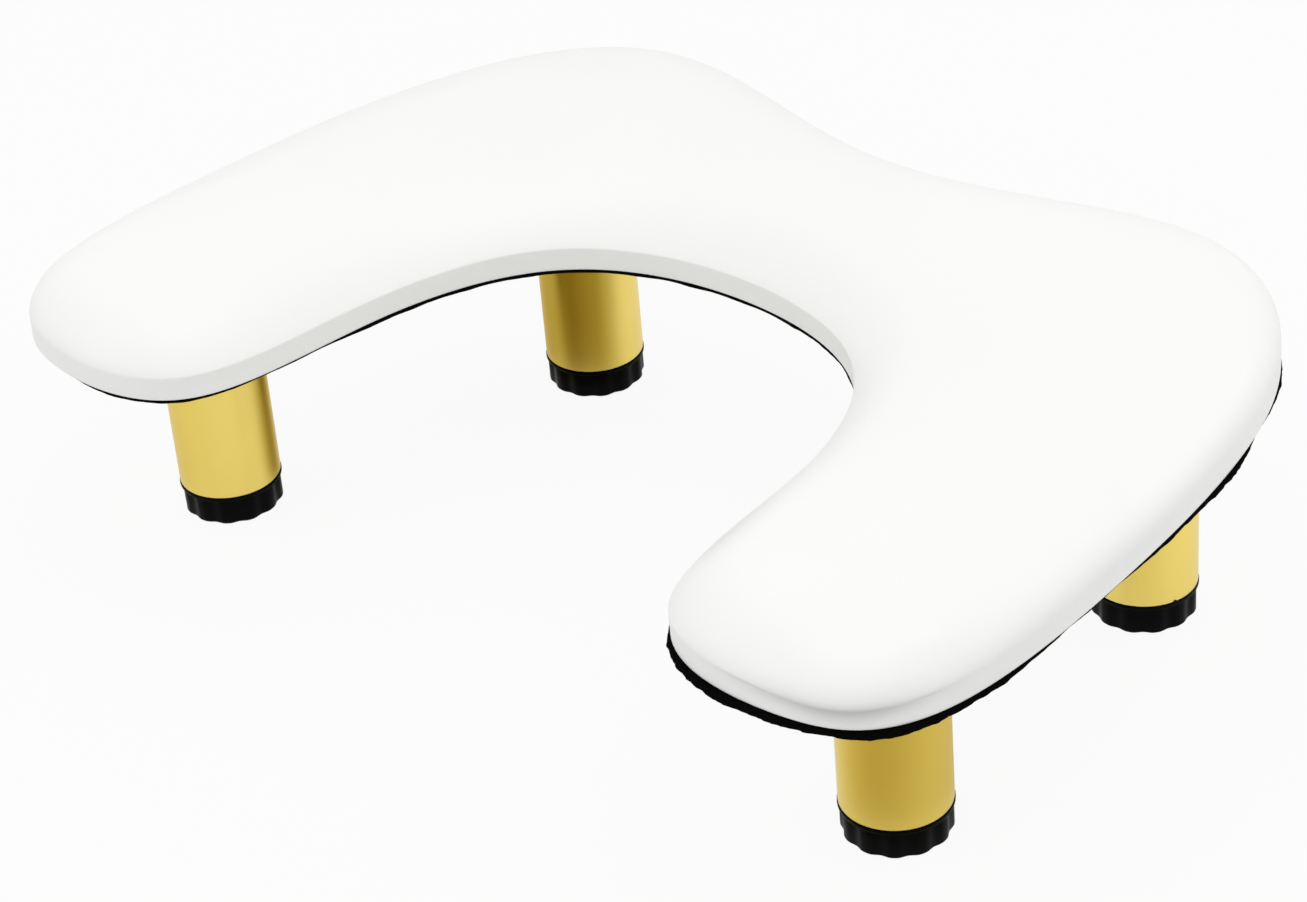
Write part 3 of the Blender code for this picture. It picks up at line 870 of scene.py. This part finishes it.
def new_group(name, inputs, output):
    """An empty shader group with float inputs of the given defaults and one float output."""
    tree = bpy.data.node_groups.new(name, "ShaderNodeTree")
    for label, default in inputs.items():
        socket = tree.interface.new_socket(label, in_out="INPUT", socket_type="NodeSocketFloat")
        socket.default_value = default
    tree.interface.new_socket(output, in_out="OUTPUT", socket_type="NodeSocketFloat")
    return tree, tree.nodes.new("NodeGroupInput"), tree.nodes.new("NodeGroupOutput")


def add_node(tree, kind, links=None, **settings):
    """A node with its settings, and its inputs linked to sockets or set to values."""
    node = tree.nodes.new(kind)
    for key, value in settings.items():
        setattr(node, key, value)
    for key, value in (links or {}).items():
        if isinstance(value, bpy.types.NodeSocket):
            tree.links.new(value, node.inputs[key])
        else:
            node.inputs[key].default_value = value
    return node


def add_maths(tree, operation, first, second):
    """The result of one step of arithmetic on two sockets or numbers."""
    node = add_node(tree, "ShaderNodeMath", {0: first, 1: second}, operation=operation)
    return node.outputs["Value"]


def pebble_grain_group():
    """Small rounded pebbles with hair-fine valleys, as pressed into leather and plastic."""
    tree, given, result = new_group("pebble_grain", {"Scale": 900.0}, "Height")
    place = add_node(tree, "ShaderNodeTexCoord")
    warp = add_node(
        tree,
        "ShaderNodeTexNoise",
        {"Vector": place.outputs["Object"], "Scale": 260.0, "Detail": 2.0},
    )
    bend = add_node(
        tree,
        "ShaderNodeVectorMath",
        {0: warp.outputs["Color"], "Scale": 0.0009},
        operation="SCALE",
    )
    moved = add_node(
        tree,
        "ShaderNodeVectorMath",
        {0: place.outputs["Object"], 1: bend.outputs["Vector"]},
        operation="ADD",
    )
    cells = add_node(
        tree,
        "ShaderNodeTexVoronoi",
        {"Vector": moved.outputs["Vector"], "Scale": given.outputs["Scale"], "Smoothness": 0.35},
        feature="SMOOTH_F1",
    )
    tree.links.new(cells.outputs["Distance"], result.inputs["Height"])
    return tree


def mottle_group():
    """Slow uneven patches, for colour and roughness that are never quite the same."""
    tree, given, result = new_group("mottle", {"Scale": 14.0, "Low": 0.0, "High": 1.0}, "Value")
    place = add_node(tree, "ShaderNodeTexCoord")
    cloud = add_node(
        tree,
        "ShaderNodeTexNoise",
        {
            "Vector": place.outputs["Object"],
            "Scale": given.outputs["Scale"],
            "Detail": 4.0,
            "Roughness": 0.55,
        },
    )
    spread = add_node(
        tree,
        "ShaderNodeMapRange",
        {
            "Value": cloud.outputs["Fac"],
            "From Min": 0.3,
            "From Max": 0.7,
            "To Min": given.outputs["Low"],
            "To Max": given.outputs["High"],
        },
    )
    tree.links.new(spread.outputs["Result"], result.inputs["Value"])
    return tree


def brush_lines_group():
    """Fine lines round a turned or polished metal piece."""
    tree, given, result = new_group("brush_lines", {"Lines": 2600.0, "Along": 40.0}, "Height")
    place = add_node(tree, "ShaderNodeTexCoord")
    split = add_node(tree, "ShaderNodeSeparateXYZ", {"Vector": place.outputs["Object"]})
    scaled = []
    for axis, factor in (("X", "Along"), ("Y", "Along"), ("Z", "Lines")):
        scaled.append(add_maths(tree, "MULTIPLY", split.outputs[axis], given.outputs[factor]))
    joined = add_node(tree, "ShaderNodeCombineXYZ", dict(zip("XYZ", scaled)))
    lines = add_node(
        tree,
        "ShaderNodeTexNoise",
        {"Vector": joined.outputs["Vector"], "Scale": 1.0, "Detail": 3.0},
    )
    tree.links.new(lines.outputs["Fac"], result.inputs["Height"])
    return tree


def fibre_group():
    """Matted short fibres, as in needled felt."""
    tree, given, result = new_group("fibres", {"Scale": 1500.0}, "Height")
    place = add_node(tree, "ShaderNodeTexCoord")
    clumps = add_node(
        tree,
        "ShaderNodeTexNoise",
        {
            "Vector": place.outputs["Object"],
            "Scale": given.outputs["Scale"],
            "Detail": 6.0,
            "Roughness": 0.7,
            "Distortion": 1.5,
        },
    )
    tree.links.new(clumps.outputs["Fac"], result.inputs["Height"])
    return tree


def new_material(name, values):
    """A material with its node tree and its shader, whose sockets get the given values."""
    material = bpy.data.materials.new(name)
    material.use_nodes = True
    shader = material.node_tree.nodes["Principled BSDF"]
    for label, value in values.items():
        shader.inputs[label].default_value = value
    return material, material.node_tree, shader


def use_group(tree, group, **values):
    node = add_node(tree, "ShaderNodeGroup", node_tree=group)
    for label, value in values.items():
        node.inputs[label].default_value = value
    return node


def tint(tree, shader, mask, first, second):
    """The base colour runs from the first colour to the second with the mask."""
    blend = {"Factor": mask, MIX_FIRST: first, MIX_SECOND: second}
    mix = add_node(tree, "ShaderNodeMix", blend, data_type="RGBA")
    tree.links.new(mix.outputs[MIX_RESULT], shader.inputs["Base Color"])


def patchy(tree, shader, mottle, scale, low, high):
    """The roughness wanders between the two values in patches."""
    patches = use_group(tree, mottle, Scale=scale, Low=low, High=high)
    tree.links.new(patches.outputs["Value"], shader.inputs["Roughness"])


def bump(tree, shader, height, distance, strength=1.0):
    shape = {"Height": height, "Distance": distance, "Strength": strength}
    node = add_node(tree, "ShaderNodeBump", shape)
    tree.links.new(node.outputs["Normal"], shader.inputs["Normal"])


def make_materials():
    grain = pebble_grain_group()
    mottle = mottle_group()
    lines = brush_lines_group()
    fibres = fibre_group()

    leather, tree, shader = new_material("white_leather", {})
    patches = use_group(tree, mottle, Scale=9.0).outputs["Value"]
    tint(tree, shader, patches, (0.922, 0.922, 0.918, 1), (0.934, 0.934, 0.932, 1))
    # Painted shade: the leather's colour turns grey under the roll, as far as each point's
    # stored share says
    unshaded = shader.inputs["Base Color"].links[0].from_socket
    crease_shade = add_node(tree, "ShaderNodeAttribute", attribute_name="crease_shade").outputs["Fac"]
    tint(tree, shader, crease_shade, unshaded, CREASE_SHADE_COLOUR)
    patchy(tree, shader, mottle, 30.0, 0.36, 0.46)
    pebbles = use_group(tree, grain, Scale=850.0)
    bump(tree, shader, pebbles.outputs["Height"], 0.00006, 0.4)

    foam, tree, shader = new_material("upholstery_foam", {"Roughness": 0.95})
    cells = use_group(tree, grain, Scale=1600.0)
    bump(tree, shader, cells.outputs["Height"], 0.0006)
    patches = use_group(tree, mottle, Scale=20.0).outputs["Value"]
    tint(tree, shader, patches, (0.80, 0.74, 0.55, 1), (0.74, 0.66, 0.45, 1))

    wood, tree, shader = new_material("plywood", {"Roughness": 0.75})
    figure = use_group(tree, lines, Lines=1400.0, Along=12.0).outputs["Height"]
    tint(tree, shader, figure, (0.62, 0.44, 0.26, 1), (0.36, 0.22, 0.11, 1))
    bump(tree, shader, figure, 0.0002)

    matt = {"Roughness": 1.0, "Specular IOR Level": 0.02}
    felt, tree, shader = new_material("black_felt", matt)
    hairs = use_group(tree, fibres, Scale=1300.0).outputs["Height"]
    tint(tree, shader, hairs, (0.0006, 0.0006, 0.0007, 1), (0.006, 0.006, 0.0065, 1))
    bump(tree, shader, hairs, 0.0008)

    brushed_metal = {"Metallic": 1.0, "Anisotropic": 0.75, "Anisotropic Rotation": 0.25}
    brass, tree, shader = new_material("satin_brass_plate", brushed_metal)
    patches = use_group(tree, mottle, Scale=14.0).outputs["Value"]
    tint(tree, shader, patches, (0.935, 0.725, 0.175, 1), (0.955, 0.745, 0.195, 1))
    patchy(tree, shader, mottle, 40.0, 0.315, 0.345)
    brushed = use_group(tree, lines, Lines=3000.0, Along=60.0)
    bump(tree, shader, brushed.outputs["Height"], 0.000001)
    round_axis = add_node(tree, "ShaderNodeTangent", direction_type="RADIAL", axis="Z")
    tree.links.new(round_axis.outputs["Tangent"], shader.inputs["Tangent"])

    steel, tree, shader = new_material("zinc_plated_steel", {"Metallic": 1.0})
    patchy(tree, shader, mottle, 300.0, 0.28, 0.45)
    patches = use_group(tree, mottle, Scale=120.0).outputs["Value"]
    tint(tree, shader, patches, (0.50, 0.50, 0.53, 1), (0.62, 0.61, 0.60, 1))

    moulded = {"Base Color": (0.0012, 0.0012, 0.0013, 1), "Specular IOR Level": 0.05}
    plastic, tree, shader = new_material("black_plastic", moulded)
    patchy(tree, shader, mottle, 80.0, 0.30, 0.42)
    spark = use_group(tree, grain, Scale=3200.0)
    bump(tree, shader, spark.outputs["Height"], 0.00002)

    rubber, tree, shader = new_material("black_rubber", {"Roughness": 0.8})
    patches = use_group(tree, mottle, Scale=90.0).outputs["Value"]
    tint(tree, shader, patches, (0.018, 0.018, 0.018, 1), (0.030, 0.030, 0.029, 1))
    skin = use_group(tree, grain, Scale=2200.0)
    bump(tree, shader, skin.outputs["Height"], 0.0001)

    return {
        "leather": leather,
        "foam": foam,
        "wood": wood,
        "felt": felt,
        "brass": brass,
        "steel": steel,
        "plastic": plastic,
        "rubber": rubber,
    }


def dress_kept_nodes(materials):
    """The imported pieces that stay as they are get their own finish."""
    kept = {"base_board": "wood"}
    for number in range(1, 5):
        kept[f"mounting_plate_{number}"] = "steel"
        kept[f"plate_stud_{number}"] = "steel"
        kept[f"top_plug_{number}"] = "plastic"
        for place in range(1, 5):
            kept[f"plate_screw_{number}_{place}"] = "steel"
    for node, finish in kept.items():
        mesh = frame["nodes"][node].data
        mesh.materials.clear()
        mesh.materials.append(materials[finish])
        mesh.shade_smooth()
        mesh.set_sharp_from_angle(angle=math.radians(35))


def seen_directly(tree, mirrored=1.0):
    """1 for camera and glass rays, the given share for mirror rays, 0 for light on things."""
    rays = add_node(tree, "ShaderNodeLightPath").outputs
    glossy = add_maths(tree, "MULTIPLY", rays["Is Glossy Ray"], mirrored)
    direct = add_maths(tree, "MAXIMUM", rays["Is Camera Ray"], rays["Is Transmission Ray"])
    return add_maths(tree, "MAXIMUM", glossy, direct)


def choose(tree, share, first, second):
    """The first shader where the share is 0, the second where it is 1."""
    mix = add_node(tree, "ShaderNodeMixShader", {"Fac": share, 1: first, 2: second})
    return mix.outputs["Shader"]


def make_world():
    world = bpy.data.worlds.new("studio")
    bpy.context.scene.world = world
    world.use_nodes = True
    tree = world.node_tree
    tree.nodes.clear()
    soft = {"Color": AMBIENT_COLOUR, "Strength": AMBIENT_STRENGTH}
    ambient = add_node(tree, "ShaderNodeBackground", soft).outputs["Background"]
    plain = {"Color": (1, 1, 1, 1), "Strength": 1.0}
    white = add_node(tree, "ShaderNodeBackground", plain).outputs["Background"]
    mix = choose(tree, seen_directly(tree), ambient, white)
    add_node(tree, "ShaderNodeOutputWorld", {"Surface": mix})


def floor_material():
    """Pale, plain white where it is looked at, and clear from below."""
    pale = {"Base Color": (0.74, 0.74, 0.73, 1), "Roughness": 0.9, "Specular IOR Level": 0.1}
    material, tree, shader = new_material("pale_floor", pale)
    glow = add_node(tree, "ShaderNodeEmission", {"Color": (1, 1, 1, 1), "Strength": 1.0})
    seen = seen_directly(tree, FLOOR_MIRRORED_SHARE / FLOOR_WHITE_SHARE)
    share = add_maths(tree, "MULTIPLY", seen, FLOOR_WHITE_SHARE)
    top = choose(tree, share, shader.outputs["BSDF"], glow.outputs["Emission"])
    side = add_node(tree, "ShaderNodeNewGeometry")
    clear = add_node(tree, "ShaderNodeBsdfTransparent")
    both = choose(tree, side.outputs["Backfacing"], top, clear.outputs["BSDF"])
    tree.links.new(both, tree.nodes["Material Output"].inputs["Surface"])
    return material


def make_floor():
    """The floor drops with whichever foot is screwed out the furthest.

    It is clear from below, so that the underside can be looked at too.
    """
    bm = bmesh.new()
    reach = FLOOR_REACH
    corners = [(-reach, -reach), (reach, -reach), (reach, reach), (-reach, reach)]
    bm.faces.new([bm.verts.new((x, y, 0)) for x, y in corners])
    floor = finish_mesh(bm, "studio_floor")
    floor.data.materials.append(floor_material())
    floor.location.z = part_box("foot_grip_1")[0].z
    for number in range(1, 5):
        stop = floor.constraints.new("FLOOR")
        stop.target = frame["bodies"][f"grip_{number}"]
        stop.floor_location = "FLOOR_NEGATIVE_Z"


def streak_sheet_material():
    """See-through sheet for the painted reflections, as dark at each point as its tone says."""
    material, tree, shader = new_material("painted_streak_sheet", {})
    tree.nodes.remove(shader)
    tone = add_node(tree, "ShaderNodeAttribute", attribute_name="tone")
    film = add_node(tree, "ShaderNodeBsdfTransparent", {"Color": tone.outputs["Color"]})
    tree.links.new(film.outputs["BSDF"], tree.nodes["Material Output"].inputs["Surface"])
    return material


def streak_sheet_tone(leg, bearing):
    """The colour that the leg's painted streaks leave of white light at that bearing."""
    left = 1.0
    for number, middle, half_width, depth in STREAK_SHEETS:
        away = abs((bearing - middle + 180) % 360 - 180) / half_width
        if number == leg and away < 1:
            left *= 1 - depth * (1 + math.cos(math.pi * away)) / 2
    return [left**strength for strength in STREAK_SHEET_TONES] + [1.0]


def make_streak_sheets(leg, material):
    """The leg's painted streaks in one ring of sheet round it, clear between them and soft at
    their edges.
    """
    x, y = leg_axis(leg)
    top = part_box(f"leg_tube_{leg}")[1].z - STREAK_SHEET_TOP_GAP
    bearings = np.arange(STREAK_SHEET_STEPS) * 360 / STREAK_SHEET_STEPS
    turns = np.radians(bearings)
    circle = np.stack([x + STREAK_SHEET_RADIUS * np.cos(turns), y + STREAK_SHEET_RADIUS * np.sin(turns)], 1)
    bm = bmesh.new()
    join_rings(bm, [add_ring(bm, circle, STREAK_SHEET_BOTTOM), add_ring(bm, circle, top)])
    streak_sheets = finish_mesh(bm, f"painted_streak_sheets_{leg}")
    tone = streak_sheets.data.attributes.new("tone", "FLOAT_COLOR", "POINT")
    tones = [streak_sheet_tone(leg, bearing) for bearing in bearings] * 2
    tone.data.foreach_set("color", np.ravel(tones))
    streak_sheets.data.materials.append(material)
    # Seen in mirror rays alone, so the sheet only paints dark reflections into the brass
    streak_sheets.visible_camera = False
    streak_sheets.visible_diffuse = False
    streak_sheets.visible_transmission = False
    streak_sheets.visible_shadow = False


def make_lights():
    for name, facts in LIGHTS.items():
        light = bpy.data.lights.new(name, "AREA")
        light.shape = "SQUARE"
        light.size = facts["size"]
        light.energy = facts["power"]
        lamp = bpy.data.objects.new(name, light)
        bpy.context.scene.collection.objects.link(lamp)
        lamp.location = facts["place"]
        aim = Vector(facts["place"]) - Vector(VIEW_CENTRE)
        lamp.rotation_mode = "QUATERNION"
        lamp.rotation_quaternion = aim.to_track_quat("Z", "Y")


def make_camera():
    level = Vector((math.cos(VIEW_AZIMUTH), math.sin(VIEW_AZIMUTH), 0))
    back = Vector(
        (
            math.sin(VIEW_AZIMUTH) * math.cos(VIEW_ELEVATION),
            -math.cos(VIEW_AZIMUTH) * math.cos(VIEW_ELEVATION),
            math.sin(VIEW_ELEVATION),
        )
    )
    upright = back.cross(level)
    right = level * math.cos(VIEW_ROLL) + upright * math.sin(VIEW_ROLL)
    up = upright * math.cos(VIEW_ROLL) - level * math.sin(VIEW_ROLL)
    place = Vector(VIEW_CENTRE) + back * VIEW_DISTANCE + right * VIEW_RIGHT + up * VIEW_UP
    data = bpy.data.cameras.new("photo_camera")
    data.sensor_width = SENSOR_WIDTH
    data.lens = FOCAL_PIXELS / FRAME_WIDTH * SENSOR_WIDTH
    camera = bpy.data.objects.new("photo_camera", data)
    bpy.context.scene.collection.objects.link(camera)
    turn = Matrix((right, up, back)).transposed()
    camera.matrix_world = Matrix.Translation(place) @ turn.to_4x4()
    bpy.context.scene.camera = camera


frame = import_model()
make_camera()
finishes = make_materials()
make_leather(finishes)
make_foam(finishes)
make_felt(finishes)
make_staples(finishes)
for leg in range(1, 5):
    make_tube(leg, finishes)
    make_bush(leg, finishes)
    make_foot(leg, finishes)
    make_grip(leg, finishes)
dress_kept_nodes(finishes)
make_world()
make_floor()
# Sheets round the legs that paint dark streaks into the brass's reflections
streak_sheet_finish = streak_sheet_material()
for leg in range(1, 5):
    make_streak_sheets(leg, streak_sheet_finish)
make_lights()
bpy.context.scene.view_settings.view_transform = "Standard"
